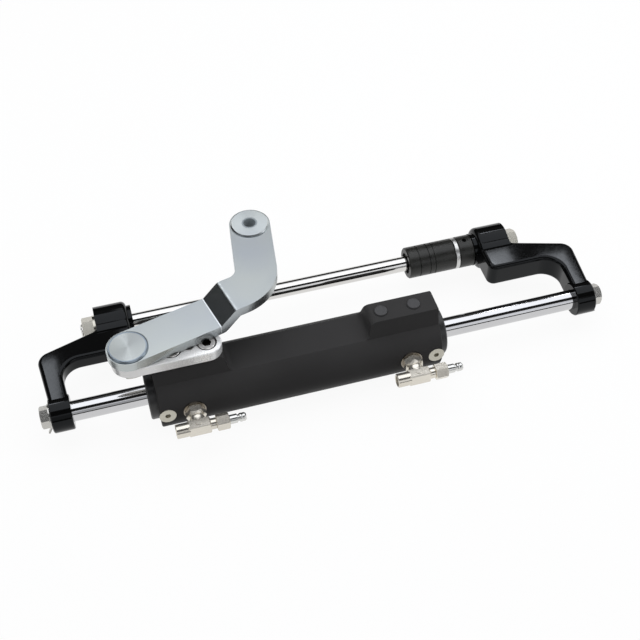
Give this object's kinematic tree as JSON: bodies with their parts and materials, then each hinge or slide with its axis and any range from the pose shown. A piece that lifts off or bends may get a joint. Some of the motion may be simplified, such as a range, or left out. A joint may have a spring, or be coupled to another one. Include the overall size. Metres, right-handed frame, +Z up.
{
  "type": "hydraulic steering cylinder",
  "caption": "Outboard engine steering cylinder: body slides on a fixed rod between two arms on a support rod, with a link arm, adjuster and bleeder tees.",
  "frame": {"origin": "middle of the support rod between the two arms, on its axis", "axes": "+X along both rods, towards the adjuster; +Z up, out of the flat lands of the body; the piston rod lies on the -Y side"},
  "size_m": [0.5672, 0.1975, 0.1174],
  "materials": {
    "arm_gloss_black": "gloss black paint on a casting",
    "body_matte_black": "matte black hard-anodised",
    "gland_black": "satin black anodised",
    "adjuster_black": "matte black anodised",
    "plug_black": "moulded",
    "rod_chrome": "hard chrome, ground and polished",
    "support_chrome": "bright chrome",
    "fastener_steel": "stainless, satin",
    "screw_stainless": "stainless, bright",
    "nut_plated": "nickel plated",
    "ring_bright": "bright turned",
    "fitting_nickel": "nickel plated, warm grey",
    "nipple_nickel": "nickel plated, bright",
    "link_satin": "satin, fine turned rings on its discs",
    "plate_polished": "polished",
    "piston_aluminium": "turned",
    "bush_bronze": "plain bearing bronze",
    "bush_dark": "moulded bush",
    "guide_plastic": "filled plastic",
    "seal_rubber": "nitrile rubber"
  },
  "bodies": {
    "frame": {"piston_rod": "rod_chrome", "piston": "piston_aluminium", "piston_seal": "seal_rubber", "piston_guide_ring": "guide_plastic", "support_rod": "support_chrome", "adjuster_nut": "adjuster_black", "adjuster_set_screw": "adjuster_black", "arm_left": "arm_gloss_black", "rod_end_bolt_left": "fastener_steel", "tab_washer_left": "fastener_steel", "support_nut_left": "nut_plated", "support_washer_left": "nut_plated", "arm_right": "arm_gloss_black", "rod_end_bolt_right": "fastener_steel", "tab_washer_right": "fastener_steel", "support_nut_right": "nut_plated", "support_washer_right": "nut_plated"},
    "cylinder": {"barrel": "body_matte_black", "pivot_plate": "plate_polished", "plate_stud": "fastener_steel", "pivot_bush": "bush_bronze", "plate_screw_inner": "screw_stainless", "plate_screw_outer": "screw_stainless", "land_plug_inner": "plug_black", "land_plug_outer": "plug_black", "gland_left": "gland_black", "rod_bush_left": "bush_bronze", "rod_seal_left": "seal_rubber", "rod_wiper_left": "seal_rubber", "gland_oring_left": "seal_rubber", "gland_screw_left": "screw_stainless", "port_seal_left": "fastener_steel", "tee_left": "fitting_nickel", "bleeder_collar_left": "fitting_nickel", "gland_right": "gland_black", "rod_bush_right": "bush_bronze", "rod_seal_right": "seal_rubber", "rod_wiper_right": "seal_rubber", "gland_oring_right": "seal_rubber", "gland_screw_right": "screw_stainless", "port_seal_right": "fastener_steel", "tee_right": "fitting_nickel", "bleeder_collar_right": "fitting_nickel"},
    "link": {"link_arm": "link_satin", "tiller_bush": "bush_dark", "pivot_bolt": "fastener_steel", "pivot_thrust_washer": "guide_plastic", "pivot_washer": "fastener_steel"},
    "adjuster_thrust": {"adjuster_ring": "ring_bright"},
    "adjuster_sleeve": {"adjuster_sleeve": "adjuster_black"},
    "bleeder_left": {"bleed_nipple_left": "nipple_nickel"},
    "bleeder_right": {"bleed_nipple_right": "nipple_nickel"}
  },
  "joints": [
    {"name": "cylinder_slide", "type": "slide", "parent": "frame", "child": "cylinder", "axis": [1, 0, 0], "range_m": [-0.064, 0.136]},
    {"name": "link_swing", "type": "hinge", "parent": "cylinder", "child": "link", "pos_m": [-0.1915, -0.091, 0.0583], "axis": [0, 0, 1], "range_deg": [-60, 60]},
    {"name": "sleeve_travel", "type": "slide", "parent": "frame", "child": "adjuster_thrust", "axis": [-1, 0, 0], "range_m": [0, 0.009]},
    {"name": "sleeve_turn", "type": "hinge", "parent": "adjuster_thrust", "child": "adjuster_sleeve", "pos_m": [0.13, 0, 0], "axis": [-1, 0, 0], "range_deg": [0, 1085]},
    {"name": "bleeder_left_turn", "type": "hinge", "parent": "cylinder", "child": "bleeder_left", "pos_m": [-0.108, -0.14899, 0.00472], "axis": [1, 0, 0], "range_deg": [0, 270]},
    {"name": "bleeder_right_turn", "type": "hinge", "parent": "cylinder", "child": "bleeder_right", "pos_m": [0.106, -0.14899, 0.00472], "axis": [1, 0, 0], "range_deg": [0, 270]}
  ],
  "couplings": [
    {"joint": "sleeve_turn", "follows": "sleeve_travel", "rad_per_m": 2094.4}
  ]
}
